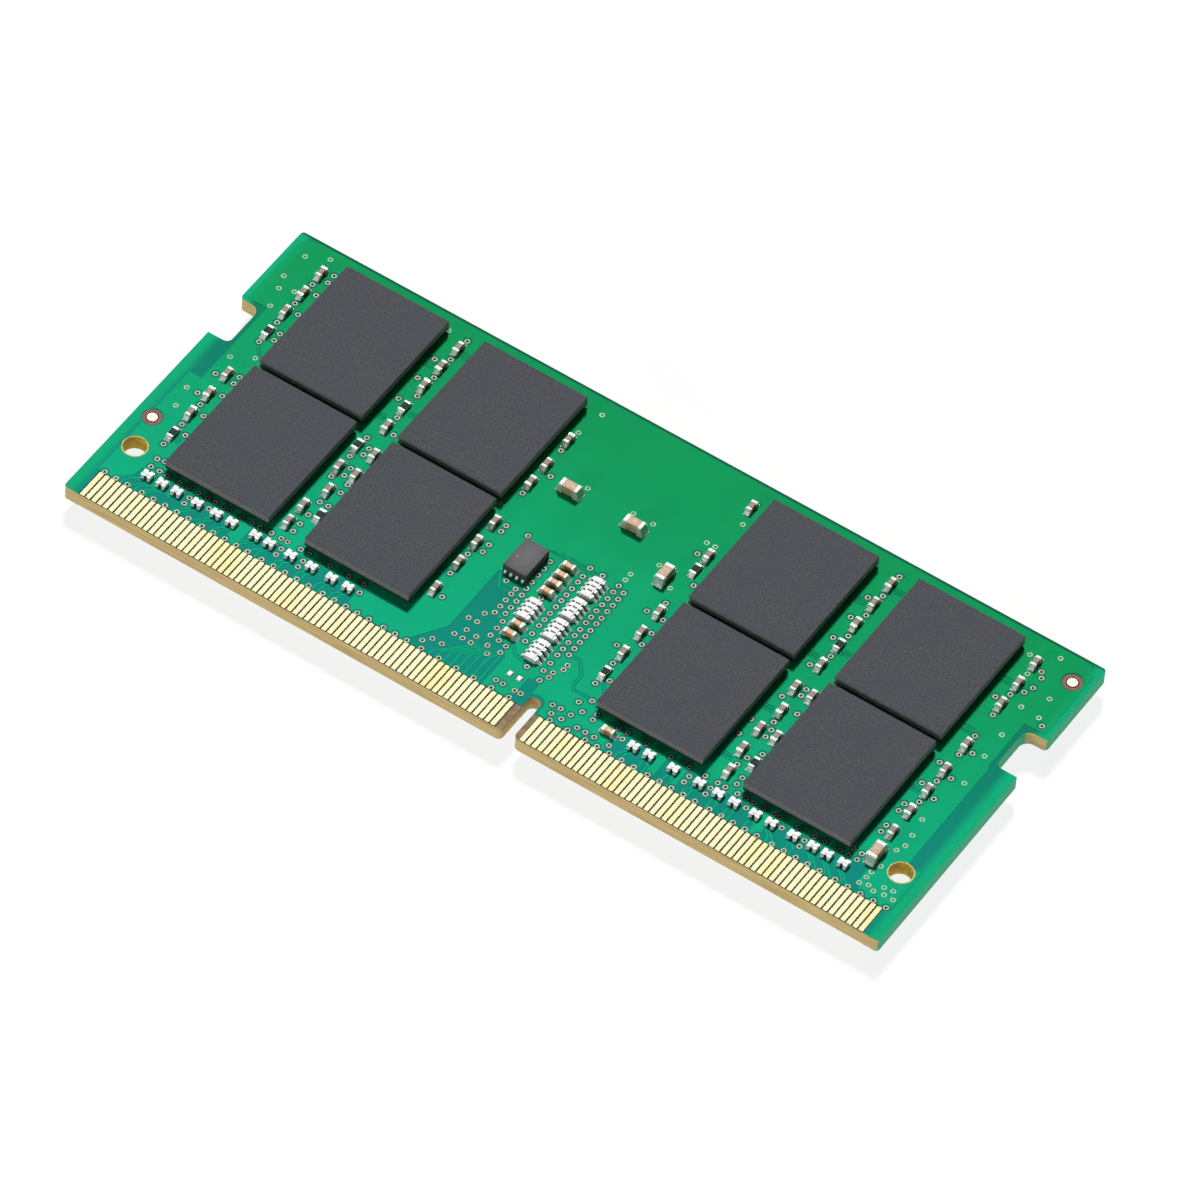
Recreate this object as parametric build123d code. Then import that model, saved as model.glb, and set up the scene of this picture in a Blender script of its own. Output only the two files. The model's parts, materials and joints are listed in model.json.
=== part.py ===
from build123d import *
import os

# Small-outline memory module with 260 edge contacts: a bare board, its solder mask and gold
# contacts, sixteen memory packages, a serial presence-detect chip, and the small passives.
# Frame: origin under the middle of the board on the plane of the rear package tops, +X along
# the contact edge, +Y from the contacts to the plain long edge, +Z out of the front face.

# Board
board_width = 69.6
board_height = 30.0
board_thickness = 1.2
corner_radius = 0.3
notch_depth = 1.8
notch_low = 3.0
notch_high = 7.05
notch_upper_radius = 0.8
notch_lower_radius = 0.5
tab_radius = 0.35
key_x = 3.55
key_width = 1.05
key_depth = 3.9
key_mouth_radius = 0.45
tooling_x = 32.8
tooling_y = -9.0
tooling_radius = 0.9
fiducials_front = [(-33.4, -6.0), (33.4, 12.6)]
fiducials_rear = [(-33.4, 12.6), (33.4, -6.0)]
fiducial_radius = 0.375
fiducial_clearing = 0.8
fiducial_thickness = 0.03

# Solder mask
mask_thickness = 0.03
mask_pullback = 0.17
contact_strip_half_width = 33.52
contact_strip_top = -12.35

# Edge contacts
contact_pitch = 0.5
contact_width = 0.36
contact_length = 2.55
contact_setback = 0.05
contact_thickness = 0.04
contact_end_radius = 0.1
contact_rows = [(-33.25, 72), (4.75, 58)]

# Memory packages
package_width = 9.0
package_length = 11.15
package_height = 1.07
package_columns = [-25.28, -13.16, 11.94, 24.34]
package_rows = [7.84, -3.94]
ball_standoff = 0.27
ball_radius = 0.225
ball_neck = 0.18
ball_pitch = 0.8
ball_columns = [-4, -3, -2, 2, 3, 4]
ball_rows = range(-6, 7)
substrate_thickness = 0.2
channel_width = 0.9
channel_length = 9.0
channel_drop = 0.12
film_thickness = 0.03
die_width = 7.2
die_length = 9.6
die_thickness = 0.25

# Stand of every part on the board
land_thickness = 0.03
rear_face_z = package_height
laminate_z = rear_face_z + mask_thickness
front_face_z = laminate_z + board_thickness + mask_thickness

# Small and large two-ended chips: length, width, height, terminal length
small_chip = (0.97, 0.47, 0.48, 0.24)
large_chip = (1.6, 0.8, 0.8, 0.35)
resistor_chip = (1.0, 0.5, 0.35, 0.22)
terminal_wall = 0.02
overcoat_thickness = 0.05
fillet_reach = 0.18
fillet_toe = 0.03
fillet_bend = (0.4, 0.3)
fillet_rise_share = 0.6
land_overhang = 0.26
land_inset = 0.05

# Chip arrays: elements, pitch, length along the row, width across it, height, reach of the lands
series_array = (2, 0.5, 0.8, 0.6, 0.35, 0.1)
termination_array = (4, 0.5, 2.0, 1.0, 0.4, 0.34)
array_terminal_width = 0.3
array_terminal_depth = 0.2

# Serial presence-detect chip
eeprom_place = (-4.03, -1.4)
eeprom_width = 2.0
eeprom_length = 3.0
eeprom_height = 0.75
eeprom_lead_pitch = 0.5
eeprom_lead = (0.25, 0.45, 0.2)
eeprom_pad = (1.5, 1.6, 0.2)
eeprom_die = (1.1, 1.2, 0.25)

# Places on the front face, in the board's plan: each column's x, then the y of its parts
small_capacitor_columns = [
    (-31.29, (12.3, 10.0, 7.75, 0.4, -1.9, -4.2)),
    (-19.84, (-2.0, -6.5, -8.35)),
    (-19.19, (12.3, 10.1, 7.9, 3.15, -4.25)),
    (-18.39, (0.35, -2.0)),
    (-7.89, (9.85, 7.0, 4.95, 0.35, -1.95, -4.25, -7.2)),
    (6.21, (12.4, 6.8, 0.4, -1.9, -4.2)),
    (17.81, (0.4, -4.2, -6.45)),
    (18.16, (12.35, 10.1, 7.8, 3.2, -1.9, -8.7)),
    (19.21, (0.4, -4.2)),
    (30.41, (12.4, 10.1, 7.8, 3.25, 0.45, -1.85, -4.15, -6.4)),
]
crosswise_capacitor_columns = [(-1.26, (0.01, -0.96, -1.86, -2.81, -6.54, -7.54)), (9.34, (-10.79,))]
resistor_columns = [
    (-31.25, (5.45, -6.5)),
    (-19.9, (0.45,)),
    (-19.2, (5.4,)),
    (-18.35, (-6.55,)),
    (6.15, (5.2, -6.45)),
    (18.2, (5.5,)),
    (19.2, (-7.05,)),
]
large_capacitor_columns = [(4.7, (3.38,)), (30.55, (-8.77,))]
crosswise_large_capacitor_columns = [(-5.2, (6.0,)), (0.4, (5.9,))]
termination_array_columns = [(-1.37, (-4.9,)), (1.21, (-0.63, -3.01, -5.35, -7.69))]
series_array_y = -10.8
series_array_left = (-30.41, -29.13, -27.83, -26.03, -24.38, -23.05)
series_array_left += (-20.98, -19.75, -17.91, -16.11, -14.38, -12.95)
series_array_right = (11.5, 12.82, 14.87, 17.07, 18.67, 20, 21.77, 23.1, 24.97, 26.62, 27.8, 29.15)
spare_lands = [(0.7, -10.4), (1.5, -10.4)]
spare_land_size = (0.45, 0.55)

STANDING = (Align.CENTER, Align.CENTER, Align.MIN)


def export(name, solids):
    """Write one named sub-part: a single solid, or a group of separate ones."""
    export_step(Compound(children=list(solids)), f"parts/{name}.step")


def places(columns, turn):
    """Flatten columns of parts into (x, y, turn) places."""
    return [(x, y, turn) for x, ys in columns for y in ys]


def seat(face, x, y, turn=0):
    """Location of a part standing on one face of the board, its top pointing away from the board."""
    if face == "front":
        return Location((x, y, front_face_z), (0, 0, turn))
    return Location((x, y, rear_face_z), (180, 0, turn))


def set_out(face, spots, shapes):
    """Copies of the shapes at every spot of one face, as a flat list of solids."""
    return [seat(face, *spot) * shape for spot in spots for shape in shapes]


# Board, mask and contacts


def latch_notch(side):
    """Plan of the notch in one short edge that a socket's side latch holds."""
    inner = board_width / 2 - notch_depth
    reach = notch_depth + 1
    notch = Pos(inner + reach / 2, (notch_low + notch_high) / 2) * Rectangle(reach, notch_high - notch_low)
    inner_corners = notch.vertices().sort_by(Axis.X)[:2].sort_by(Axis.Y)
    notch = fillet(inner_corners[1], notch_upper_radius)
    lower_corner = notch.vertices().filter_by(lambda v: abs(v.X - inner) < 0.01).sort_by(Axis.Y)[0]
    notch = fillet(lower_corner, notch_lower_radius)
    return notch if side > 0 else mirror(notch, about=Plane.YZ)


def key_slot():
    """Plan of the round-ended slot that keeps the board from being fitted the wrong way round."""
    edge = -board_height / 2
    centre_y = edge + key_depth - key_width / 2
    stem = Pos(key_x, (centre_y + edge - 1) / 2) * Rectangle(key_width, centre_y - edge + 1)
    return stem + Pos(key_x, centre_y) * Circle(key_width / 2)


def board_plan():
    """Plan of the board with its rounded corners, latch notches and key slot."""
    plan = Rectangle(board_width, board_height)
    plan = fillet(plan.vertices(), corner_radius)
    for side in (-1, 1):
        plan -= latch_notch(side)
    plan -= key_slot()
    half = board_width / 2
    tabs = plan.vertices().filter_by(lambda v: abs(v.Y - notch_high) < 0.01 and abs(abs(v.X) - half) < 0.01)
    plan = fillet(tabs, tab_radius)
    mouth = plan.vertices().filter_by(
        lambda v: abs(v.Y + board_height / 2) < 0.01 and abs(abs(v.X - key_x) - key_width / 2) < 0.01
    )
    return fillet(mouth, key_mouth_radius)


def tooling_holes(radius):
    """Plan of the two tooling holes near the contact edge."""
    return Sketch() + [Pos(side * tooling_x, tooling_y) * Circle(radius) for side in (-1, 1)]


def laminate():
    """Glass-epoxy board with its outline and tooling holes."""
    plan = board_plan() - tooling_holes(tooling_radius)
    return Pos(0, 0, laminate_z) * extrude(plan, board_thickness)


def solder_mask(fiducials, z):
    """Mask skin of one face, open over the contacts and round the tooling holes and fiducials."""
    strip_low = -board_height / 2 - 1
    strip = Pos(0, (strip_low + contact_strip_top) / 2) * Rectangle(
        2 * contact_strip_half_width, contact_strip_top - strip_low
    )
    plan = board_plan() - tooling_holes(tooling_radius + mask_pullback) - strip
    for x, y in fiducials:
        plan -= Pos(x, y) * Circle(fiducial_clearing)
    return Pos(0, 0, z) * extrude(plan, mask_thickness)


def contact_row(z):
    """Gold contacts of one face, either side of the key slot, their inner ends rounded."""
    pad = Rectangle(contact_width, contact_length)
    pad = fillet(pad.vertices().group_by(Axis.Y)[-1], contact_end_radius)
    finger = extrude(pad, contact_thickness)
    middle_y = -board_height / 2 + contact_setback + contact_length / 2
    return [
        Pos(first_x + i * contact_pitch, middle_y, z) * finger
        for first_x, count in contact_rows
        for i in range(count)
    ]


def fiducial_dots():
    """Bare copper aiming dots on the laminate of both faces."""
    dot = Cylinder(fiducial_radius, fiducial_thickness, align=STANDING)
    front = [Pos(x, y, laminate_z + board_thickness) * dot for x, y in fiducials_front]
    return front + [Pos(x, y, laminate_z - fiducial_thickness) * dot for x, y in fiducials_rear]


# Memory packages, each on its own footprint with z = 0 at the board's surface


def solder_balls():
    """Barrel-shaped joints of one package: three columns each side of an empty middle."""
    half = ball_standoff / 2
    right_side = [(ball_neck, -half), (ball_radius, 0), (ball_neck, half)]
    profile = Polygon((0, -half), *right_side, (0, half), align=None)
    ball = Pos(0, 0, half) * revolve(Plane.XZ * profile, Axis.Z)
    return [Pos(column * ball_pitch, row * ball_pitch) * ball for column in ball_columns for row in ball_rows]


def package_substrate():
    """Thin carrier with the channel that the bond wires pass through."""
    plate = Box(package_width, package_length, substrate_thickness, align=STANDING)
    plate -= Box(channel_width, channel_length, substrate_thickness, align=STANDING)
    return Pos(0, 0, ball_standoff) * plate


def channel_fill():
    """Potting over the bond wires, standing a little below the substrate."""
    height = channel_drop + substrate_thickness
    fill = Box(channel_width, channel_length, height, align=STANDING)
    return Pos(0, 0, ball_standoff - channel_drop) * fill


def attach_film():
    """Two strips of adhesive that hold the die, one each side of the channel."""
    width = (die_width - channel_width) / 2
    strip = Box(width, die_length, film_thickness, align=STANDING)
    z = ball_standoff + substrate_thickness
    return [Pos(side * (channel_width + width) / 2, 0, z) * strip for side in (-1, 1)]


def memory_die():
    """Silicon die, face down over the channel."""
    z = ball_standoff + substrate_thickness + film_thickness
    return Pos(0, 0, z) * Box(die_width, die_length, die_thickness, align=STANDING)


def mould_cap():
    """Moulded body over the substrate, hollowed where the die and its film lie."""
    base = ball_standoff + substrate_thickness
    cap = Box(package_width, package_length, package_height - base, align=STANDING)
    cap -= Box(die_width, die_length, film_thickness + die_thickness, align=STANDING)
    return Pos(0, 0, base) * cap


# Two-ended chips, lying along X with z = 0 at the board's surface


def chip_core(chip):
    """Ceramic of a two-ended chip, thinner than its terminals by their wall."""
    core = Box(*(size - 2 * terminal_wall for size in chip[:3]), align=STANDING)
    return Pos(0, 0, land_thickness + terminal_wall) * core


def chip_terminals(chip):
    """Metal caps on both ends of a chip, each wrapped round the ceramic."""
    length, width, height, reach = chip
    end = Box(reach, width, height, align=STANDING)
    ends = [Pos(side * (length - reach) / 2, 0, land_thickness) * end for side in (-1, 1)]
    return [cap - chip_core(chip) for cap in ends]


def resistor_overcoat():
    """Printed protective coat on a resistor's top, between its terminals."""
    length, width, height, reach = resistor_chip
    top = land_thickness + height - terminal_wall
    span = length - 2 * reach
    return Pos(0, 0, top) * Box(span, width - 2 * terminal_wall, overcoat_thickness, align=STANDING)


def solder_fillet(width, rise, reach=fillet_reach):
    """Hollow ramp of solder with its upright back on X = 0, one bend, and a blunt toe along +X."""
    profile = Polygon(
        (0, 0),
        (reach, 0),
        (reach, fillet_toe),
        (reach * fillet_bend[0], fillet_toe + (rise - fillet_toe) * fillet_bend[1]),
        (0, rise),
        align=None,
    )
    return Pos(0, width / 2, land_thickness) * extrude(Plane.XZ * profile, width)


def chip_fillets(chip):
    """Solder ramps against both ends of a chip."""
    length, width, height, _ = chip
    ramp = solder_fillet(width, height * fillet_rise_share)
    return [Rot(0, 0, turn) * (Pos(length / 2, 0) * ramp) for turn in (0, 180)]


def chip_lands(chip):
    """Plated lands under both ends of a chip."""
    length, width, _, reach = chip
    size = reach + land_inset + land_overhang
    land = Box(size, width + 2 * land_inset, land_thickness, align=STANDING)
    offset = length / 2 + land_overhang - size / 2
    return [Pos(side * offset, 0) * land for side in (-1, 1)]


# Chip arrays, their rows of terminals on the -Y and +Y sides


def terminal_spots(array):
    """Offset of every terminal along the row, with the side that it is on."""
    elements, pitch = array[:2]
    return [((i - (elements - 1) / 2) * pitch, side) for i in range(elements) for side in (-1, 1)]


def array_core(array):
    """Ceramic of a chip array."""
    _, _, length, width, height, _ = array
    core = Box(length, width - 2 * terminal_wall, height - 2 * terminal_wall, align=STANDING)
    return Pos(0, 0, land_thickness + terminal_wall) * core


def array_terminals(array):
    """Metal terminals of a chip array, wrapped round its two long sides."""
    width, height = array[3:5]
    end = Box(array_terminal_width, array_terminal_depth, height, align=STANDING)
    offset = (width - array_terminal_depth) / 2
    ends = [Pos(x, side * offset, land_thickness) * end for x, side in terminal_spots(array)]
    return [cap - array_core(array) for cap in ends]


def array_overcoat(array):
    """Printed coat on an array's top, between its rows of terminals."""
    _, _, length, width, height, _ = array
    top = land_thickness + height - terminal_wall
    return Pos(0, 0, top) * Box(length, width - 2 * array_terminal_depth, overcoat_thickness, align=STANDING)


def array_fillets(array):
    """Solder ramps against every terminal of an array."""
    width, height, reach = array[3:]
    ramp = solder_fillet(array_terminal_width, height * fillet_rise_share, reach)
    return [Pos(x, side * width / 2) * Rot(0, 0, 90 * side) * ramp for x, side in terminal_spots(array)]


def array_lands(array):
    """Plated lands under every terminal of an array."""
    width, reach = array[3], array[5]
    size = array_terminal_depth + reach + land_inset
    land = Box(array_terminal_width, size, land_thickness, align=STANDING)
    offset = width / 2 + reach - size / 2
    return [Pos(x, side * offset) * land for x, side in terminal_spots(array)]


# Serial presence-detect chip, with z = 0 at the board's surface


def eeprom_metal():
    """Four leads at each end of the chip and the wide pad between them."""
    width, length, height = eeprom_lead
    lead = Box(width, length, height, align=STANDING)
    leads = [
        Pos((i - 1.5) * eeprom_lead_pitch, side * (eeprom_length - length) / 2, land_thickness) * lead
        for i in range(4)
        for side in (-1, 1)
    ]
    return leads + [Pos(0, 0, land_thickness) * Box(*eeprom_pad, align=STANDING)]


def eeprom_silicon():
    """Die on the wide pad."""
    return Pos(0, 0, land_thickness + eeprom_pad[2]) * Box(*eeprom_die, align=STANDING)


def eeprom_mould():
    """Moulded body round the leads, the pad and the die."""
    body = Box(eeprom_width, eeprom_length, eeprom_height, align=STANDING)
    body = Pos(0, 0, land_thickness) * body
    for inner in eeprom_metal() + [eeprom_silicon()]:
        body -= inner
    return body


def eeprom_fillets():
    """Solder ramps against the outer ends of the leads."""
    ramp = solder_fillet(eeprom_lead[0], eeprom_lead[2])
    return [
        Pos((i - 1.5) * eeprom_lead_pitch, side * eeprom_length / 2) * Rot(0, 0, 90 * side) * ramp
        for i in range(4)
        for side in (-1, 1)
    ]


def eeprom_lands():
    """Plated lands under the leads and the wide pad."""
    width, length, _ = eeprom_lead
    land = Box(width, length + fillet_reach, land_thickness, align=STANDING)
    offset = (eeprom_length - length + fillet_reach) / 2
    lands = [Pos((i - 1.5) * eeprom_lead_pitch, side * offset) * land for i in range(4) for side in (-1, 1)]
    return lands + [Box(eeprom_pad[0], eeprom_pad[1], land_thickness, align=STANDING)]


def export_board():
    """Board, mask skins, contacts and fiducials."""
    front_z = laminate_z + board_thickness
    export("pcb_laminate", [laminate()])
    export("solder_mask_front", [solder_mask(fiducials_front, front_z)])
    export("solder_mask_rear", [solder_mask(fiducials_rear, rear_face_z)])
    export("contacts_front", contact_row(front_z))
    export("contacts_rear", contact_row(laminate_z - contact_thickness))
    export("fiducial_dots", fiducial_dots())


def export_packages():
    """Eight memory packages on each face: one node for each mould, and groups for what it hides."""
    spots = [(x, y) for y in package_rows for x in package_columns]
    for face in ("front", "rear"):
        for number, spot in enumerate(spots, 1):
            export(f"dram_mould_{face}_{number}", [seat(face, *spot) * mould_cap()])
        export(f"dram_substrates_{face}", set_out(face, spots, [package_substrate()]))
        export(f"dram_dies_{face}", set_out(face, spots, [memory_die()]))
        export(f"dram_solder_balls_{face}", set_out(face, spots, solder_balls()))
    films = [set_out(face, spots, attach_film()) for face in ("front", "rear")]
    fills = [set_out(face, spots, [channel_fill()]) for face in ("front", "rear")]
    export("die_attach_films", sum(films, []))
    export("bond_channel_fills", sum(fills, []))


def export_passives():
    """Capacitors, resistors and arrays. The rear carries the same small parts beside its packages."""
    upright = places(small_capacitor_columns, 90)
    crosswise = places(crosswise_capacitor_columns, 0)
    resistors = places(resistor_columns, 90)
    arrays = [(x, series_array_y) for x in series_array_left + series_array_right]
    large = places(large_capacitor_columns, 90) + places(crosswise_large_capacitor_columns, 0)
    terminations = places(termination_array_columns, 90)
    for face, capacitors in (("front", upright + crosswise), ("rear", upright)):
        export(f"small_capacitor_ceramics_{face}", set_out(face, capacitors, [chip_core(small_chip)]))
        export(f"small_capacitor_terminals_{face}", set_out(face, capacitors, chip_terminals(small_chip)))
        export(f"resistor_ceramics_{face}", set_out(face, resistors, [chip_core(resistor_chip)]))
        export(f"resistor_overcoats_{face}", set_out(face, resistors, [resistor_overcoat()]))
        export(f"resistor_terminals_{face}", set_out(face, resistors, chip_terminals(resistor_chip)))
        export(f"series_array_ceramics_{face}", set_out(face, arrays, [array_core(series_array)]))
        export(f"series_array_overcoats_{face}", set_out(face, arrays, [array_overcoat(series_array)]))
        export(f"series_array_terminals_{face}", set_out(face, arrays, array_terminals(series_array)))
        lands = set_out(face, capacitors, chip_lands(small_chip))
        lands += set_out(face, resistors, chip_lands(resistor_chip))
        lands += set_out(face, arrays, array_lands(series_array))
        solder = set_out(face, capacitors, chip_fillets(small_chip))
        solder += set_out(face, resistors, chip_fillets(resistor_chip))
        solder += set_out(face, arrays, array_fillets(series_array))
        if face == "front":
            spare = Box(*spare_land_size, land_thickness, align=STANDING)
            lands += set_out(face, large, chip_lands(large_chip))
            lands += set_out(face, terminations, array_lands(termination_array))
            lands += set_out(face, [eeprom_place], eeprom_lands())
            lands += set_out(face, spare_lands, [spare])
            solder += set_out(face, large, chip_fillets(large_chip))
            solder += set_out(face, terminations, array_fillets(termination_array))
            solder += set_out(face, [eeprom_place], eeprom_fillets())
        export(f"component_lands_{face}", lands)
        export(f"solder_fillets_{face}", solder)
    export("large_capacitor_ceramics", set_out("front", large, [chip_core(large_chip)]))
    export("large_capacitor_terminals", set_out("front", large, chip_terminals(large_chip)))
    export("termination_array_ceramics", set_out("front", terminations, [array_core(termination_array)]))
    export("termination_array_overcoats", set_out("front", terminations, [array_overcoat(termination_array)]))
    export("termination_array_terminals", set_out("front", terminations, array_terminals(termination_array)))


def export_eeprom():
    """The presence-detect chip's body, metal and die."""
    export("eeprom_body", set_out("front", [eeprom_place], [eeprom_mould()]))
    export("eeprom_leads", set_out("front", [eeprom_place], eeprom_metal()))
    export("eeprom_die", set_out("front", [eeprom_place], [eeprom_silicon()]))


os.makedirs("parts", exist_ok=True)
export_board()
export_packages()
export_passives()
export_eeprom()
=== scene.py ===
import json
import math
import random

import bpy
from mathutils import Matrix, Vector, geometry

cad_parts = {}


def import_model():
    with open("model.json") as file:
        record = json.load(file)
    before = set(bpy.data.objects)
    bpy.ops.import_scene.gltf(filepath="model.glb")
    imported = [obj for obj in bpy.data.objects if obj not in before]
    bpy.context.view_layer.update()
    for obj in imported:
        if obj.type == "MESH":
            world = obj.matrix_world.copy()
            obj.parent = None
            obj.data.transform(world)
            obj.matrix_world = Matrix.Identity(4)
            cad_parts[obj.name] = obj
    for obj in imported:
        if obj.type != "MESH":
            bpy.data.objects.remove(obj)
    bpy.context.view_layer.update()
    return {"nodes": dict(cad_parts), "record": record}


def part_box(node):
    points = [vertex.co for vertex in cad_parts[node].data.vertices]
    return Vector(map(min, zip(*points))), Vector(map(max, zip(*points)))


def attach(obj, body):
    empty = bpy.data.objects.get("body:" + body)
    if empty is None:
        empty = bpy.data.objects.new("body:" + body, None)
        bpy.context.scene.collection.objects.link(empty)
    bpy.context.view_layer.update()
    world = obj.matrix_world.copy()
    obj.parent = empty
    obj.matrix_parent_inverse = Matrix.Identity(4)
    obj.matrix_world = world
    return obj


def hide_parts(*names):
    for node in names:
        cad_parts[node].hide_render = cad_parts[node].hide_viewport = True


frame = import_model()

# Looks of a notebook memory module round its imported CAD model. Lengths in this file are
# millimetres unless a name says otherwise, and become metres where a mesh or a node is made.
MM = 0.001
SMOOTH_ANGLE = math.radians(40)
chance = random.Random(260)


def box_mm(node):
    """Lowest and highest corner of a CAD node."""
    low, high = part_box(node)
    return low / MM, high / MM


FRONT_Z = box_mm("solder_mask_front")[1].z
REAR_Z = box_mm("solder_mask_rear")[0].z
MIDDLE_Z = (FRONT_Z + REAR_Z) / 2
SIDES = {"front": (FRONT_Z, 1), "rear": (REAR_Z, -1)}
HALF_WIDTH, HALF_HEIGHT, _ = box_mm("pcb_laminate")[1]
KEY_X = 3.55
HOLES = next(mount for mount in frame["record"]["mounts"] if mount["name"] == "tooling_holes")
HOLE_X = HOLES["dims"]["spacing_x_mm"] / 2
HOLE_Y = HOLES["pos_m"][1] / MM
HOLE_RADIUS = HOLES["dims"]["hole_r_mm"]


# Materials: each is a Principled shader with patterns in the object's own coordinates


def new_material(name, roughness, metallic=0.0, specular=0.5, tint=(1, 1, 1)):
    """A material with its node tree, shader and coordinate node."""
    material = bpy.data.materials.new(name)
    material.use_nodes = True
    tree = material.node_tree
    shader = tree.nodes["Principled BSDF"]
    shader.inputs["Roughness"].default_value = roughness
    shader.inputs["Metallic"].default_value = metallic
    shader.inputs["Specular IOR Level"].default_value = specular
    shader.inputs["Specular Tint"].default_value = (*tint, 1)
    place = tree.nodes.new("ShaderNodeTexCoord")
    return material, tree, shader, place.outputs["Object"]


def srgb(red, green, blue):
    """Linear colour of an 8-bit display colour."""
    def linear(value):
        share = value / 255
        return share / 12.92 if share <= 0.04045 else ((share + 0.055) / 1.055) ** 2.4
    return (linear(red), linear(green), linear(blue), 1)


def noise(tree, place, size, detail=2.0, stretch=(1, 1, 1), roughness=0.5):
    """Cloudy pattern whose blobs are about size millimetres across."""
    mapping = tree.nodes.new("ShaderNodeMapping")
    mapping.inputs["Scale"].default_value = stretch
    tree.links.new(place, mapping.inputs["Vector"])
    cloud = tree.nodes.new("ShaderNodeTexNoise")
    cloud.inputs["Scale"].default_value = 1 / (size * MM)
    cloud.inputs["Detail"].default_value = detail
    cloud.inputs["Roughness"].default_value = roughness
    tree.links.new(mapping.outputs["Vector"], cloud.inputs["Vector"])
    return cloud.outputs["Fac"]


def spread(tree, value, low, high, most=1.0):
    """Map a value's range to 0 and up to most, clamped."""
    node = tree.nodes.new("ShaderNodeMapRange")
    node.interpolation_type = "SMOOTHSTEP"
    for name, number in (("From Min", low), ("From Max", high), ("To Min", 0.0), ("To Max", most)):
        node.inputs[name].default_value = number
    tree.links.new(value, node.inputs["Value"])
    return node.outputs["Result"]


def blend(tree, factor, first, second):
    """Mix two colours, each a constant or a socket."""
    node = tree.nodes.new("ShaderNodeMix")
    node.data_type = "RGBA"
    tree.links.new(factor, node.inputs["Factor"])
    for index, colour in ((6, first), (7, second)):
        if isinstance(colour, tuple):
            node.inputs[index].default_value = colour
        else:
            tree.links.new(colour, node.inputs[index])
    return node.outputs[2]


def tones(tree, pattern, dark, light):
    """Colour that wavers between two tones with a cloudy pattern."""
    return blend(tree, spread(tree, pattern, 0.3, 0.7), dark, light)


def axis_of(tree, vector, axis):
    """One coordinate of a vector, a place being in metres."""
    node = tree.nodes.new("ShaderNodeSeparateXYZ")
    tree.links.new(vector, node.inputs["Vector"])
    return node.outputs[axis]


def maths(tree, operation, first, second=0.0):
    """One arithmetic step on a socket and a socket or number."""
    node = tree.nodes.new("ShaderNodeMath")
    node.operation = operation
    tree.links.new(first, node.inputs[0])
    if isinstance(second, float):
        node.inputs[1].default_value = second
    else:
        tree.links.new(second, node.inputs[1])
    return node.outputs[0]


def facing(tree, axis):
    """How squarely a surface looks along an axis, either way: 0 to 1."""
    node = tree.nodes.new("ShaderNodeNewGeometry")
    return maths(tree, "ABSOLUTE", axis_of(tree, node.outputs["Normal"], axis))


def colour_by(tree, shader, colour):
    """Let a colour socket colour the surface."""
    tree.links.new(colour, shader.inputs["Base Color"])


def bump(tree, shader, height, depth, strength):
    """Relief of a pattern, depth millimetres from its lowest to its highest."""
    node = tree.nodes.new("ShaderNodeBump")
    node.inputs["Strength"].default_value = strength
    node.inputs["Distance"].default_value = depth * MM
    tree.links.new(height, node.inputs["Height"])
    tree.links.new(node.outputs["Normal"], shader.inputs["Normal"])


def speckled(name, dark, light, size, roughness, metallic=0.0, specular=0.5, depth=0.003):
    """Plain stuff whose colour wavers between two tones, with a relief three times as fine."""
    material, tree, shader, place = new_material(name, roughness, metallic, specular)
    colour_by(tree, shader, tones(tree, noise(tree, place, size, 3.0), dark, light))
    bump(tree, shader, noise(tree, place, size / 3, 3.0), depth, 0.6)
    return material


def mask_material(name, top, low, edge):
    """Green lacquer: cooler towards the contacts, paler along the short edges, with a painted shade along the long
    edge away from them.
    """
    material, tree, shader, place = new_material(name, 0.55, 0.0, 0.12, (0.02, 0.9, 0.6))
    across = axis_of(tree, place, "Y")
    colour = blend(tree, spread(tree, across, -HALF_HEIGHT * MM, HALF_HEIGHT * MM), low, top)
    out = maths(tree, "ABSOLUTE", axis_of(tree, place, "X"))
    near_edge = spread(tree, out, (HALF_WIDTH - 1.3) * MM, (HALF_WIDTH - 0.4) * MM)
    colour = blend(tree, near_edge, colour, edge)
    # Painted shade: a dark green band along the long edge away from the contacts.
    painted_edge_shade = spread(tree, across, (HALF_HEIGHT - 0.28) * MM, (HALF_HEIGHT - 0.12) * MM, 0.8)
    colour = blend(tree, painted_edge_shade, colour, srgb(0, 74, 34))
    drift = spread(tree, noise(tree, place, 6.0, 3.0), 0.3, 0.7, 0.12)
    colour_by(tree, shader, blend(tree, drift, colour, srgb(0, 90, 60)))
    bump(tree, shader, noise(tree, place, 0.35, 2.0), 0.004, 0.5)
    return material


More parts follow.
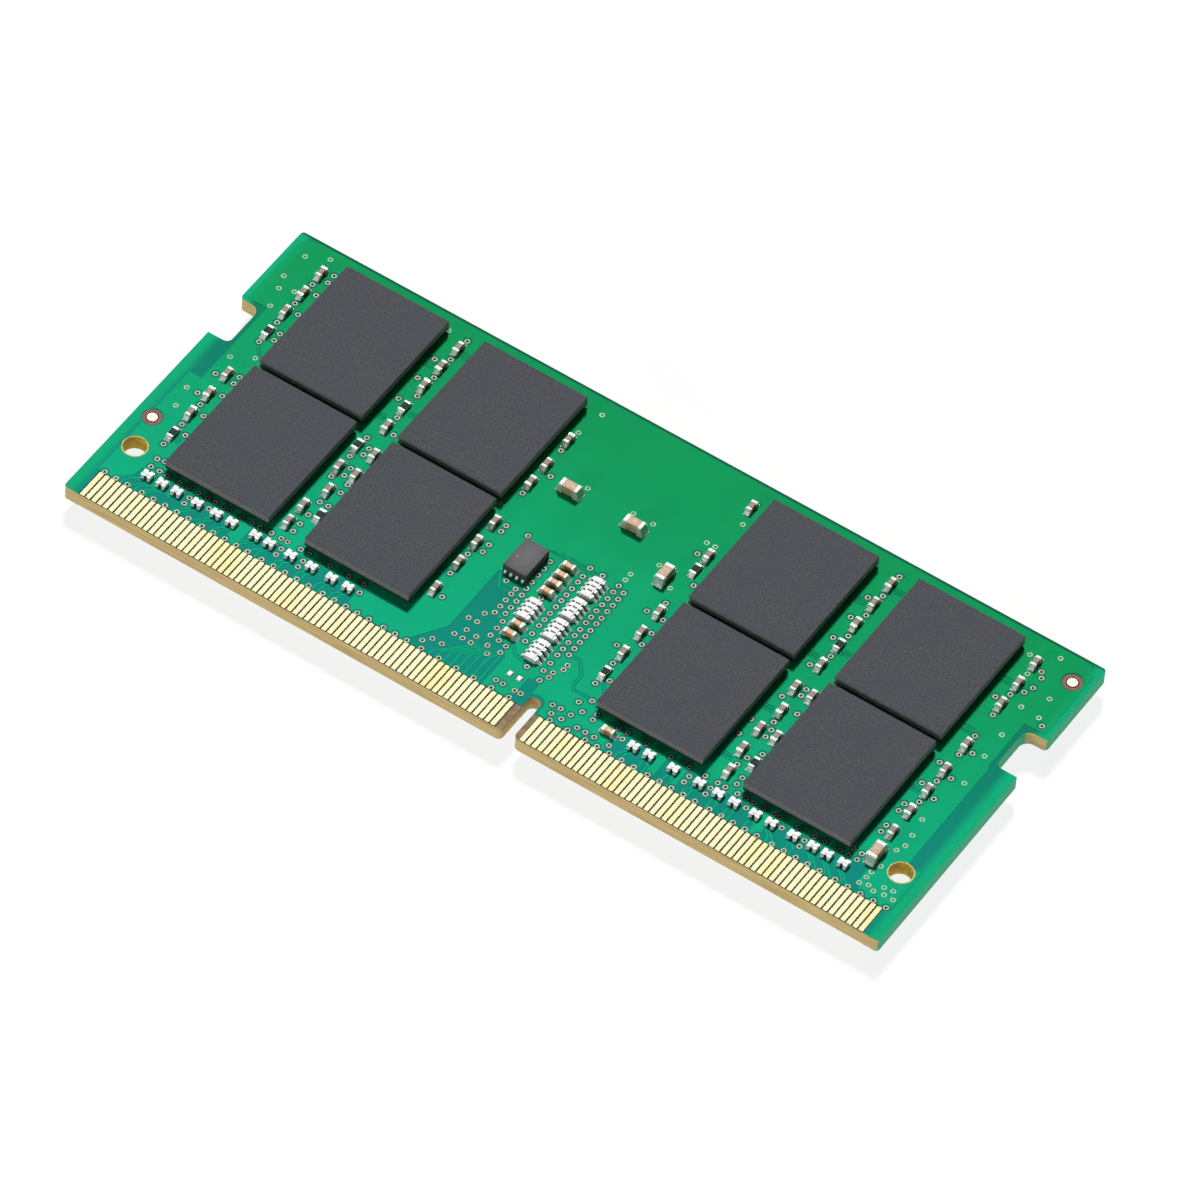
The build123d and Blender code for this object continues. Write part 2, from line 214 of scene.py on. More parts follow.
def laminate_material():
    """Cut glass cloth and resin: fine layers on the walls, greened by lacquer on the short edges,
    and open faces of olive resin at the key slot, with painted shade near black on them between the contacts."""
    material, tree, shader, place = new_material("glass_epoxy", 0.6, 0.0, 0.35)
    layers = noise(tree, place, 0.1, 2.0, (0.025, 0.025, 1.0), 0.6)
    wall = tones(tree, layers, srgb(184, 158, 98), srgb(212, 188, 128))
    mottle = noise(tree, place, 0.5, 3.0)
    resin = tones(tree, mottle, srgb(104, 80, 44), srgb(148, 118, 70))
    # Painted shade: near black on the open faces between the raised contacts.
    painted_gap_shade = tones(tree, mottle, srgb(14, 10, 2), srgb(30, 24, 8))
    along = axis_of(tree, place, "X")
    beside_key = maths(tree, "ABSOLUTE", maths(tree, "SUBTRACT", along, KEY_X * MM))
    face = blend(tree, spread(tree, beside_key, 0.9 * MM, 1.1 * MM), resin, painted_gap_shade)
    colour = blend(tree, spread(tree, facing(tree, "Z"), 0.4, 0.6), wall, face)
    far_out = spread(tree, maths(tree, "ABSOLUTE", along), 20 * MM, 25 * MM)
    short_edge = maths(tree, "MULTIPLY", far_out, spread(tree, facing(tree, "X"), 0.6, 0.9, 0.98))
    colour_by(tree, shader, blend(tree, short_edge, colour, srgb(0, 188, 132)))
    bump(tree, shader, layers, 0.01, 0.7)
    return material


def gold_material():
    """Pale hard gold with the faint lengthwise brushing of a card edge."""
    material, tree, shader, place = new_material("hard_gold", 0.6, 0.6)
    brushing = noise(tree, place, 0.05, 2.0, (1.0, 0.08, 1.0))
    tone = tones(tree, brushing, (0.44, 0.42, 0.24, 1), (0.5, 0.47, 0.3, 1))
    stain = spread(tree, noise(tree, place, 2.5, 2.0, (1.0, 0.3, 1.0)), 0.5, 0.75, 0.6)
    colour_by(tree, shader, blend(tree, stain, tone, (0.49, 0.42, 0.15, 1)))
    bump(tree, shader, brushing, 0.002, 0.5)
    return material


def mould_material():
    """Dark moulded epoxy: grainy on top, paler where the walls were sawn."""
    material, tree, shader, place = new_material("moulded_epoxy", 0.7, 0.0, 0.25)
    grain = spread(tree, noise(tree, place, 0.13, 4.0, roughness=0.6), 0.3, 0.7)
    top = blend(tree, grain, srgb(50, 52, 56), srgb(78, 81, 87))
    drift = spread(tree, noise(tree, place, 3.0, 3.0), 0.35, 0.65, 0.5)
    top = blend(tree, drift, top, srgb(60, 65, 72))
    wall = blend(tree, grain, srgb(112, 112, 114), srgb(136, 134, 136))
    colour_by(tree, shader, blend(tree, spread(tree, facing(tree, "Z"), 0.2, 0.6), wall, top))
    bump(tree, shader, grain, 0.006, 0.5)
    return material


MASK_COPPER = mask_material("mask_over_copper", srgb(0, 148, 78), srgb(0, 172, 124), srgb(2, 158, 94))
MASK_BARE = mask_material("mask_over_laminate", srgb(0, 116, 80), srgb(0, 134, 120), srgb(2, 170, 116))
LAMINATE = laminate_material()
GOLD = gold_material()
BRIGHT_SOLDER = speckled("bright_solder", (0.62, 0.74, 0.7, 1), (0.88, 0.96, 0.93, 1), 0.14, 0.5, 0.3, depth=0.004)
LAND = speckled("plated_land", (0.3, 0.42, 0.34, 1), (0.5, 0.62, 0.52, 1), 0.25, 0.5, 0.4)
SOLDER = speckled("solder", (0.4, 0.5, 0.44, 1), (0.66, 0.74, 0.68, 1), 0.14, 0.5, 0.5, depth=0.004)
TIN = speckled("tin_terminal", (0.42, 0.47, 0.42, 1), (0.66, 0.71, 0.66, 1), 0.12, 0.55, 0.4)
VIA_RIM = speckled("via_rim", (0.26, 0.34, 0.23, 1), (0.42, 0.52, 0.38, 1), 0.2, 0.55, 0.3)
# Painted shade: dark caps standing for the shade inside via bores.
BORE_SHADE = speckled("painted_via_bore_shade", (0.01, 0.012, 0.008, 1), (0.03, 0.035, 0.02, 1), 0.08, 0.7, 0.0, 0.2)
MOULD = mould_material()
MOULD_SMALL = speckled("small_chip_epoxy", srgb(66, 66, 70), srgb(82, 82, 87), 0.07, 0.55, 0.0, 0.3, 0.004)
SUBSTRATE = speckled("package_substrate", srgb(22, 40, 26), srgb(40, 60, 36), 0.3, 0.5)
SILICON = speckled("silicon", srgb(70, 74, 84), srgb(92, 96, 108), 0.8, 0.2, 0.4)
FILM = speckled("attach_film", srgb(150, 120, 70), srgb(175, 145, 90), 0.3, 0.5)
POTTING = speckled("potting", srgb(24, 24, 26), srgb(40, 40, 42), 0.2, 0.4)
CERAMIC = speckled("capacitor_ceramic", srgb(112, 86, 72), srgb(156, 128, 110), 0.14, 0.55)
CERAMIC_WARM = speckled("capacitor_ceramic_warm", srgb(176, 108, 52), srgb(214, 150, 86), 0.16, 0.45)
CERAMIC_TAN = speckled("capacitor_ceramic_tan", srgb(168, 128, 92), srgb(202, 164, 128), 0.16, 0.5)
ALUMINA = speckled("alumina", srgb(206, 200, 196), srgb(236, 230, 226), 0.12, 0.5)
BLACK_COAT = speckled("black_overcoat", srgb(30, 26, 30), srgb(58, 52, 58), 0.12, 0.7, 0.0, 0.2)
WHITE_COAT = speckled("white_overcoat", srgb(226, 224, 226), srgb(246, 244, 246), 0.16, 0.45)
GREY_MARK = speckled("grey_mark", srgb(96, 92, 94), srgb(132, 128, 130), 0.08, 0.6)
COPPER_LINE = speckled("red_brown_copper", srgb(96, 34, 24), srgb(124, 50, 36), 0.12, 0.6, 0.0, 0.2)
ARRAY_TIN = speckled("array_terminal", (0.7, 0.8, 0.76, 1), (0.9, 0.98, 0.95, 1), 0.12, 0.55, 0.2)
# Painted shade: dark blocks low in the notches between chip-array ends.
NOTCH_SHADE = speckled("painted_notch_shade", srgb(22, 34, 28), srgb(44, 58, 48), 0.1, 0.7, 0.0, 0.1)
# Painted shade: dark rings where the mask stops round signal vias and fiducial dots.
MASK_EDGE_SHADE = speckled("painted_mask_edge_shade", srgb(10, 66, 44), srgb(20, 90, 60), 0.2, 0.5, 0.0, 0.2)
HOLE_RIM = speckled("hole_rim", srgb(150, 156, 78), srgb(192, 190, 112), 0.3, 0.5)
HOLE_WALL = speckled("hole_wall", srgb(176, 160, 14), srgb(214, 180, 70), 0.5, 0.6, 0.0, 0.2)
BARE_RING = speckled("bare_resin", srgb(118, 82, 66), srgb(150, 110, 90), 0.14, 0.65, 0.0, 0.2)
DOT = speckled("fiducial_gold", (0.46, 0.47, 0.26, 1), (0.58, 0.6, 0.38, 1), 0.12, 0.5, 0.4)


# Mesh building: loops of points joined into skins, gathered in one shape

SHORTEST = 0.001


class Shape:
    """Points, faces and each face's material number."""

    def __init__(self):
        self.points = []
        self.faces = []
        self.numbers = []

    def loft(self, loops, number=0, closed=False):
        """Join loops of equal length with quads, then cap the ends or join the last to the first."""
        first, count = len(self.points), len(loops[0])
        for loop in loops:
            self.points.extend(loop)
        pairs = len(loops) if closed else len(loops) - 1
        for level in range(pairs):
            low = first + level * count
            high = first + (level + 1) % len(loops) * count
            for i in range(count):
                j = (i + 1) % count
                self.face((low + i, low + j, high + j, high + i), number)
        if not closed:
            self.face(tuple(first + i for i in reversed(range(count))), number)
            self.face(tuple(first + pairs * count + i for i in range(count)), number)

    def face(self, corners, number):
        """Add one face."""
        self.faces.append(corners)
        self.numbers.append(number)

    def plate(self, outer, holes, low, high, number=0):
        """Flat sheet: the union of the outer outlines without the holes, with upright edges."""
        outlines = [anticlockwise(loop) for loop in (*outer, *holes)]
        points, loops = [], []
        for loop in outlines:
            loops.append(list(range(len(points), len(points) + len(loop))))
            points.extend(Vector(p) for p in loop)
        spots, _, triangles, _, _, sources = geometry.delaunay_2d_cdt(points, [], loops, 1, 1e-6)
        kept = [
            triangle
            for triangle, source in zip(triangles, sources)
            if any(s < len(outer) for s in source) and not any(s >= len(outer) for s in source)
        ]
        used = {spot: i for i, spot in enumerate(sorted({s for triangle in kept for s in triangle}))}
        kept = [tuple(used[s] for s in triangle) for triangle in kept]
        base, count = len(self.points), len(used)
        for z in (low, high):
            self.points.extend((spots[s].x, spots[s].y, z) for s in used)
        edges = set()
        for a, b, c in kept:
            self.face((base + count + a, base + count + b, base + count + c), number)
            self.face((base + c, base + b, base + a), number)
            edges |= {(a, b), (b, c), (c, a)}
        for a, b in sorted(edges):
            if (b, a) not in edges:
                self.face((base + a, base + b, base + count + b, base + count + a), number)


def anticlockwise(loop):
    """The loop, turned round if it runs clockwise."""
    area = sum(a[0] * b[1] - b[0] * a[1] for a, b in zip(loop, [*loop[1:], loop[0]]))
    return list(loop) if area > 0 else list(reversed(loop))


def rounded(low_x, low_y, high_x, high_y, z, radius, steps=3):
    """Loop round a rectangle with rounded corners."""
    radius = min(radius, (high_x - low_x) / 2 - SHORTEST, (high_y - low_y) / 2 - SHORTEST)
    radius = max(SHORTEST, radius)
    centres = (
        (high_x - radius, high_y - radius),
        (low_x + radius, high_y - radius),
        (low_x + radius, low_y + radius),
        (high_x - radius, low_y + radius),
    )
    loop = []
    for quarter, (x, y) in enumerate(centres):
        for i in range(steps + 1):
            angle = math.radians(90 * (quarter + i / steps))
            loop.append((x + radius * math.cos(angle), y + radius * math.sin(angle), z))
    return loop


def circle(x, y, z, radius, steps):
    """Loop round a circle."""
    turns = (2 * math.pi * i / steps for i in range(steps))
    return [(x + radius * math.cos(a), y + radius * math.sin(a), z) for a in turns]


def turned(shape, x, y, level, up, profile, steps, number=0):
    """Ring turned round an upright axis from a profile of radii and heights."""
    loops = [circle(x, y, level + up * height, radius, steps) for radius, height in profile]
    shape.loft(loops, number, closed=True)


def washer(inner, outer, height):
    """Profile of a flat ring."""
    return (outer, 0.0), (outer, height), (inner, height), (inner, 0.0)


def plan_sides(low, high, inset):
    """Lowest x and y and highest x and y of a box, drawn in by the inset."""
    return low.x + inset, low.y + inset, high.x - inset, high.y - inset


def block(shape, low, high, corner, edge, number=0, steps=3):
    """Box with rounded upright corners and rounded rims."""
    rims = [(edge * (1 - math.sin(a)), edge * (1 - math.cos(a))) for a in (0, math.pi / 4, math.pi / 2)]
    levels = [(low.z + up, inset) for inset, up in rims]
    levels += [(high.z - up, inset) for inset, up in reversed(rims)]
    loops = [rounded(*plan_sides(low, high, inset), z, corner - inset, steps) for z, inset in levels]
    shape.loft(loops, number)


def add(name, data):
    """New object in the scene."""
    made = bpy.data.objects.new(name, data)
    bpy.context.scene.collection.objects.link(made)
    return made


def mesh_of(name, shape, materials):
    """Mesh of a shape, smooth but for its sharp edges."""
    mesh = bpy.data.meshes.new(name)
    mesh.from_pydata([Vector(p) * MM for p in shape.points], [], shape.faces)
    for material in materials:
        mesh.materials.append(material)
    mesh.polygons.foreach_set("material_index", shape.numbers)
    mesh.polygons.foreach_set("use_smooth", [True] * len(shape.faces))
    mesh.set_sharp_from_angle(angle=SMOOTH_ANGLE)
    mesh.validate()
    return mesh


def piece(name, shape, materials, slot, *stands_for):
    """Object of a shape, riding on the board, that may stand for CAD nodes."""
    made = add(name, mesh_of(name, shape, materials))
    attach(made, "root")
    if stands_for:
        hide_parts(*stands_for)


def islands(node):
    """Lowest and highest corner of every separate solid in a CAD node."""
    mesh = frame["nodes"][node].data
    keys = [tuple(round(c / MM, 4) for c in v.co) for v in mesh.vertices]
    parent = {key: key for key in keys}

    def root(key):
        while parent[key] != key:
            parent[key] = parent[parent[key]]
            key = parent[key]
        return key

    for polygon in mesh.polygons:
        corners = [root(keys[i]) for i in polygon.vertices]
        for corner in corners[1:]:
            parent[root(corner)] = root(corners[0])
    groups = {}
    for key in parent:
        groups.setdefault(root(key), []).append(key)
    return [
        (Vector(map(min, zip(*group))), Vector(map(max, zip(*group))))
        for _, group in sorted(groups.items())
    ]


def finish_node(node, material, width=None):
    """Give a kept CAD node its material, and a small bevel on its sharp edges."""
    made = frame["nodes"][node]
    made.data.materials.clear()
    made.data.materials.append(material)
    if width:
        weld = made.modifiers.new("weld", "WELD")
        weld.merge_threshold = SHORTEST * MM
        bevel = made.modifiers.new("bevel", "BEVEL")
        bevel.width = width * MM
        bevel.segments = 2
        bevel.limit_method = "ANGLE"
        bevel.harden_normals = True


# Board


def finish_board():
    """Materials of the laminate, mask skins, contacts and fiducials."""
    finish_node("pcb_laminate", LAMINATE)
    for side in SIDES:
        finish_node(f"solder_mask_{side}", MASK_BARE)
        finish_node(f"contacts_{side}", GOLD)
    finish_node("fiducial_dots", DOT)


# Packages


def finish_packages():
    """Moulded caps with crisp but not razor-sharp edges, and what lies inside them."""
    for side in SIDES:
        for number in range(1, 9):
            finish_node(f"dram_mould_{side}_{number}", MOULD, 0.03)
        finish_node(f"dram_substrates_{side}", SUBSTRATE)
        finish_node(f"dram_dies_{side}", SILICON)
    finish_node("die_attach_films", FILM)
    finish_node("bond_channel_fills", POTTING)


def solder_balls(side):
    """Round joints between each package and the board."""
    node = f"dram_solder_balls_{side}"
    shape = Shape()
    for low, high in islands(node):
        middle = (low + high) / 2
        radius, height = (high.x - low.x) / 2, high.z - low.z
        loops = []
        for i in range(5):
            z = low.z + height * i / 4
            waist = math.sqrt(max(0.0, radius**2 - (z - middle.z) ** 2))
            loops.append(circle(middle.x, middle.y, z, waist, 12))
        shape.loft(loops)
    piece(f"solder_ball_joints_{side}", shape, [SOLDER], "solder", node)


# Two-ended chips and chip arrays

ARRAY_PITCH = 0.5
NOTCH_HALF_WIDTH = 0.11
BAR_PITCH = 0.44
BAR_SHIFT = 0.05
BAR_REACH = Vector((0.2, 0.09, 0.0))


def bricks(name, nodes, material, slot, corner, edge):
    """Rounded blocks in place of every solid of some CAD nodes."""
    shape = Shape()
    for node in nodes:
        for low, high in islands(node):
            block(shape, low, high, corner, edge)
    piece(name, shape, [material], slot, *nodes)


def capacitor_bodies(side):
    """Ceramics, of a warmer colour where the chip lies across the board."""
    node = f"small_capacitor_ceramics_{side}"
    shape = Shape()
    for low, high in islands(node):
        block(shape, low, high, 0.02, 0.02, 1 if high.x - low.x > high.y - low.y else 0)
    piece(f"capacitor_bodies_{side}", shape, [CERAMIC, CERAMIC_WARM], "capacitor_ceramic", node)


def chips(side):
    """Small capacitors and resistors of one face."""
    capacitor_bodies(side)
    bricks(f"capacitor_ends_{side}", [f"small_capacitor_terminals_{side}"], TIN, "terminal_metal", 0.06, 0.05)
    bricks(f"resistor_bodies_{side}", [f"resistor_ceramics_{side}"], ALUMINA, "alumina", 0.01, 0.01)
    bricks(f"resistor_coats_{side}", [f"resistor_overcoats_{side}"], BLACK_COAT, "black_overcoat", 0.03, 0.02)
    bricks(f"resistor_ends_{side}", [f"resistor_terminals_{side}"], TIN, "terminal_metal", 0.03, 0.03)


def notched(low, high, elements, depth, inset):
    """Outline of an array's ceramic, with a notch between every two ends along its long sides."""
    middle = (low + high) / 2
    along = 1 if elements > 2 else 0
    half, reach = (high[along] - low[along]) / 2 - inset, (high[1 - along] - low[1 - along]) / 2 - inset
    wide, narrow = NOTCH_HALF_WIDTH + inset, NOTCH_HALF_WIDTH * 0.6
    edges = [-half]
    for i in range(1, elements):
        centre = (i - elements / 2) * ARRAY_PITCH
        edges += [centre - wide, centre - narrow, centre + narrow, centre + wide]
    edges.append(half)
    depths = [reach] + [reach, reach - depth, reach - depth, reach] * (elements - 1) + [reach]
    near = [(u, -v) for u, v in zip(edges, depths)]
    far = [(u, v) for u, v in zip(reversed(edges), reversed(depths))]
    return [(middle.x + (v if along else u), middle.y + (u if along else v)) for u, v in near + far]


def arrays(label, side, elements, suffix=""):
    """Chip arrays with a notched ceramic, metal ends and, on the longer ones, plain printed bars."""
    ceramics, overcoats, terminals = (f"{label}_{part}{suffix}" for part in ("ceramics", "overcoats", "terminals"))
    bodies, coats, bars = Shape(), Shape(), Shape()
    depth = 0.18 if elements > 2 else 0.06
    for low, high in islands(ceramics):
        loops = []
        for z, inset in ((low.z, 0.0), (high.z - 0.02, 0.0), (high.z, 0.02)):
            loops.append([(x, y, z) for x, y in notched(low, high, elements, depth, inset)])
        bodies.loft(loops)
        # Painted shade in the notches between the ends.
        notch_shade_blocks(bodies, low, high, elements, depth)
    for low, high in islands(overcoats):
        block(coats, low, high, 0.03, 0.02)
        if elements > 2:
            print_bars(bars, low, high)
    piece(f"{label}_bodies_{side}", bodies, [ALUMINA, NOTCH_SHADE], "alumina", ceramics)
    piece(f"{label}_coats_{side}", coats, [WHITE_COAT], "white_overcoat", overcoats)
    if bars.points:
        piece(f"{label}_bars_{side}", bars, [GREY_MARK], "black_overcoat")
    bricks(f"{label}_ends_{side}", [terminals], ARRAY_TIN, "terminal_metal", 0.05, 0.04)


def notch_shade_blocks(shape, low, high, elements, depth):
    """Dark blocks low in the notches between an array's ends: painted shade of the notches."""
    along = 1 if elements > 2 else 0
    half = Vector((0.0, 0.0, 0.0))
    half[along], half[1 - along] = NOTCH_HALF_WIDTH, depth / 2 + 0.01
    for i in range(1, elements):
        for side in (-1, 1):
            centre = (low + high) / 2
            centre[along] += (i - elements / 2) * ARRAY_PITCH
            centre[1 - along] += side * ((high[1 - along] - low[1 - along]) / 2 - depth / 2 + 0.01)
            a, b = centre - half, centre + half
            a.z, b.z = low.z + 0.01, high.z - 0.05
            block(shape, a, b, 0.02, 0.01, 1, 1)


def print_bars(shape, low, high):
    """Three short plain bars across the array, in a row along it."""
    middle = (low + high) / 2
    for i in (-1, 0, 1):
        centre = middle + Vector((0, i * BAR_PITCH + BAR_SHIFT, 0))
        a, b = centre - BAR_REACH, centre + BAR_REACH
        a.z, b.z = high.z - 0.005, high.z + 0.006
        block(shape, a, b, 0.03, 0.004)


# Lands and solder joints

NARROW_LAND = 0.4
SKIRT_MARGIN = 0.03
SKIRT_GROWTH = 0.012
SKIRT_TOE = 0.06
CUSHION_PROFILE = ((0.0, 0.0), (0.02, 0.03), (0.08, 0.06), (0.16, 0.075))


def overlaps(first, second):
    """Whether two boxes share plan area."""
    return all(first[0][k] < second[1][k] and second[0][k] < first[1][k] for k in (0, 1))


def joints(side, metal_nodes):
    """Rounded lands, and hollow skirts of solder that climb each terminal from its land."""
    up = SIDES[side][1]
    metal = [box for node in metal_nodes for box in islands(node)]
    lands, solder = Shape(), Shape()
    for land in islands(f"component_lands_{side}"):
        low, high = land
        top = high.z if up > 0 else low.z
        block(lands, low, high, 0.06, 0.01, steps=4)
        held = [box for box in metal if overlaps(land, box)]
        if held:
            narrow = min(high.x - low.x, high.y - low.y) < NARROW_LAND
            skirt(solder, land, held[0], top, up, 1 if narrow else 0)
        else:
            cushion(solder, low, high, top, up)
    piece(f"lands_{side}", lands, [LAND], "land_metal", f"component_lands_{side}")
    piece(f"solder_joints_{side}", solder, [SOLDER, BRIGHT_SOLDER], "solder", f"solder_fillets_{side}")


def skirt(shape, land, terminal, top, up, number):
    """Concave ramp from a land's outline up the walls of a terminal."""
    rise = (terminal[1].z - terminal[0].z) * chance.uniform(0.65, 0.9)
    start = plan_sides(*land, SKIRT_MARGIN)
    end = plan_sides(*terminal, -SKIRT_GROWTH)
    loops = []
    for share in (0.0, SKIRT_TOE, 0.25, 0.5, 0.75, 1.0):
        sides = [a + (b - a) * share for a, b in zip(start, end)]
        height = 0.03 * min(1.0, share / SKIRT_TOE) + rise * share**1.5
        loops.append(rounded(*sides, top + up * height, 0.08 - 0.03 * share))
    shape.loft(loops, number)


def cushion(shape, low, high, top, up):
    """Low dome of solder on a land that carries nothing."""
    loops = []
    for inset, height in CUSHION_PROFILE:
        loops.append(rounded(*plan_sides(low, high, inset), top + up * height, 0.14 - inset / 2, 4))
    shape.loft(loops)


# Plated vias. The stitching ones stand in the copper plane, and the signal ones have a clearing
# round them. They go through the board, so both faces show them. A column is its x and the y of
# each via in it, a row is its y and the x of each via, and a contact group is the x of its first
# via, the pitch and the count.

STITCHING_VIAS = [
    (-31.59, 13.92), (-33.24, 13.07), (-33.44, 10.62), (-33.04, 9.42), (-32.59, 7.67), (-31.94, 9.82),
    (-30.59, 2.92), (-32.14, 1.97), (-32.99, -2.28), (-32.64, -4.13), (-20.79, 13.42), (-7.34, 13.37),
    (-7.79, 10.97), (-8.54, 2.12), (-4.34, 7.02), (-0.39, 7.02), (1.31, 7.02), (3.76, 4.12), (5.56, 2.82),
    (6.51, 10.82), (5.36, 7.87), (6.06, 7.92), (31.56, 13.92), (29.61, 12.92), (30.41, 11.32), (32.91, 10.32),
    (31.66, 8.52), (33.21, 8.42), (31.91, 5.57), (31.96, 3.22), (32.11, 0.32), (31.46, -4.18), (31.66, -5.78),
    (31.76, -6.83), (31.46, -7.53), (31.36, -9.38), (31.11, -10.18), (31.06, -10.78), (32.56, -10.83),
    (33.26, -10.73), (31.56, -11.28), (30.91, -11.48), (32.11, -11.53), (32.91, -11.38), (33.66, -11.38),
    (2.56, 2.22), (2.56, 1.57),
]
SIGNAL_VIA_COLUMNS = [
    (-32.07, (0.02, -2.23)), (-31.27, (11.17, 8.92, 6.67, 4.37, -3.03, -5.33, -7.63)),
    (-30.47, (12.77, 11.97, 10.47, 8.17, 5.87, 5.12, 0.77, 0.02, -1.43, -3.78, -6.03)), (-30.82, (-9.03,)),
    (-30.22, (-8.93,)), (-20.07, (10.57, 8.37, 5.92)), (-19.82, (1.52, -0.63, -2.98)),
    (-19.12, (13.37, 11.22, 9.07, 6.92, 4.37, 2.72, 0.77, 0.07, -1.53, -2.33, -5.43, -6.88, -7.93, -8.78)),
    (-18.42, (2.87, -2.93, -3.83, -5.38)), (-7.87, (8.82, 3.87, -3.13, -5.33)),
    (-7.12, (6.37, 0.67, 0.02, -1.53, -2.33, -7.48)), (-5.32, (0.82,)),
    (-2.72, (-0.23, -1.03, -1.78, -2.58, -3.28)), (-1.37, (-3.38,)),
    (-0.07, (0.97, 0.02, -0.63, -1.38, -2.08, -2.73, -3.43, -4.18, -4.88, -5.58, -6.48, -7.33)),
    (1.03, (0.92,)),
    (2.48, (0.82, 0.12, -0.63, -1.33, -2.03, -2.73, -3.38, -4.13, -4.83, -5.63, -6.33, -7.03, -7.93, -8.78)),
    (3.13, (0.47, -0.23, -0.93, -1.63, -2.38, -3.03, -3.78, -4.43, -5.13, -5.83, -6.53, -8.53, -9.08)),
    (3.58, (-7.38, -7.88)), (2.73, (-9.68,)), (1.33, (-9.18,)), (-4.27, (-3.53,)),
    (-3.3, (-3.78, -4.33, -5.03, -5.73, -6.43)), (-2.62, (-3.98, -4.68, -5.38, -6.08)),
    (-2.37, (-6.78, -7.53, -8.33)), (-3.82, (-6.93, -7.88, -9.73)), (-4.52, (-7.93, -9.73)),
    (-1.62, (-8.38, -9.88)), (-0.92, (-8.53, -9.23)), (-4.02, (-8.93,)), (-3.12, (-9.03, -9.73)),
    (-2.02, (-9.23,)), (-5.52, (-11.03,)), (-4.72, (-11.03,)), (-6.02, (-11.58,)),
    (5.38, (6.62, 0.07, -3.78, -10.93)), (6.08, (1.47, -5.33, -7.58, -9.68)),
    (6.78, (4.02, 0.07, -1.43, -2.68, -6.78, -9.03, -10.28)), (7.78, (-9.83, -10.43)), (16.78, (-3.73, -5.33)),
    (17.43, (10.47, 8.22, 5.92, 2.87, -0.73)), (18.23, (13.42, 11.22, 9.02, 6.67, 4.37, -3.03, -7.73)),
    (18.48, (0.82, 0.12, -3.73, -4.48, -6.83)), (19.18, (-1.43, -5.93, -8.53, -9.23)),
    (29.68, (8.22, 0.87, -1.43, -3.73, -4.48, -6.08, -6.78, -9.23)),
    (30.43, (9.02, 6.72, 4.37, 2.27, -0.68, -2.98)), (31.13, (12.07, 9.77, 2.92, 0.12, -2.13)),
    (31.43, (11.57, 10.47)), (33.78, (7.92,)),
]
SIGNAL_VIA_ROWS = [
    (-9.88, (-30.77, -30.02, -29.32, -28.27, -27.47, -26.62, -25.82, -25.12, -24.42, -23.87)),
    (-9.88, (-22.82, -21.92, -21.22)), (-9.83, (-20.27, -19.42, -18.87, -17.72, -17.02, -15.17, -13.57, -12.27)),
    (-10.63, (-26.87, -25.17, -18.87, -16.97, -12.07, 10.43, 16.08, 17.88, 20.88, 23.88, 25.78)),
    (-11.28, (-26.87, -18.87, -16.97, 16.08, 17.88, 25.78)),
    (-9.93, (9.68, 10.43, 12.08, 14.08, 15.63, 16.98, 18.03, 18.68, 19.68)),
    (-9.88, (20.38, 21.08, 21.88, 22.73, 23.23, 24.78, 26.18, 26.98, 28.28, 28.98, 29.68)), (-9.13, (28.93,)),
    (-11.48, (0.23, 0.83, 1.83, 2.33)), (-11.68, (5.08, 5.93, 7.28, 7.98, 8.73, 9.98)), (-10.98, (4.73, 6.28)),
]
CONTACT_VIA_Y = -12.24
CONTACT_VIA_GROUPS = [
    (-33.16, 1.0, 3), (-29.91, 1.02, 5), (-24.66, 1.0, 5), (-19.46, 1.02, 5), (-14.16, 1.0, 5), (-8.91, 1.0, 3),
    (-5.66, 1.5, 6), (5.34, 1.5, 3), (9.34, 1.04, 4), (13.64, 1.0, 5), (18.84, 1.0, 5), (24.09, 1.0, 5),
    (29.39, 1.06, 5),
]
VIA_RADIUS = 0.21
VIA_BORE_RADIUS = 0.11
VIA_CLEARING = 0.36
VIA_GAP = 0.05
VIA_PROFILE = (
    (VIA_RADIUS, 0.0), (VIA_RADIUS, 0.034), (VIA_RADIUS - 0.03, 0.046),
    (VIA_BORE_RADIUS + 0.03, 0.044), (VIA_BORE_RADIUS, 0.028), (VIA_BORE_RADIUS, 0.0),
)
BORE_PROFILE = ((VIA_BORE_RADIUS + 0.005, 0.002), (VIA_BORE_RADIUS + 0.004, 0.022), (VIA_BORE_RADIUS * 0.5, 0.018))


def via_spots():
    """Stitching and signal vias as two lists of (x, y)."""
    signal = [(x, y) for x, ys in SIGNAL_VIA_COLUMNS for y in ys]
    signal += [(x, y) for y, xs in SIGNAL_VIA_ROWS for x in xs]
    for first, pitch, count in CONTACT_VIA_GROUPS:
        signal += [(first + i * pitch, CONTACT_VIA_Y) for i in range(count)]
    return STITCHING_VIAS, signal


def vias(side):
    """Raised bright rims round bores of painted shade, the signal ones in a clearing of the mask ringed with
    painted shade.
    """
    level, up = SIDES[side]
    shape = Shape()
    stitching, signal = via_spots()
    # The dark ring round each signal via is painted shade where the mask stops at its clearing.
    shaded_ring = washer(VIA_RADIUS - 0.01, VIA_RADIUS + VIA_GAP, 0.006)
    for x, y in stitching + signal:
        turned(shape, x, y, level, up, VIA_PROFILE, 20)
        # The dark cap over each bore is painted shade, standing for the shade inside the hole.
        shape.loft([circle(x, y, level + up * height, radius, 12) for radius, height in BORE_PROFILE], 1)
    for x, y in signal:
        turned(shape, x, y, level, up, shaded_ring, 20, 2)
    piece(f"vias_{side}", shape, [VIA_RIM, BORE_SHADE, MASK_EDGE_SHADE], "land_metal")


# Copper under the mask: one plane with clearings, and traces in the clearings. A trace pair is the
# x where both traces start and end, and the y of each. A fan shift is how far the traces below one
# series array lean towards +X on their way to the contacts.

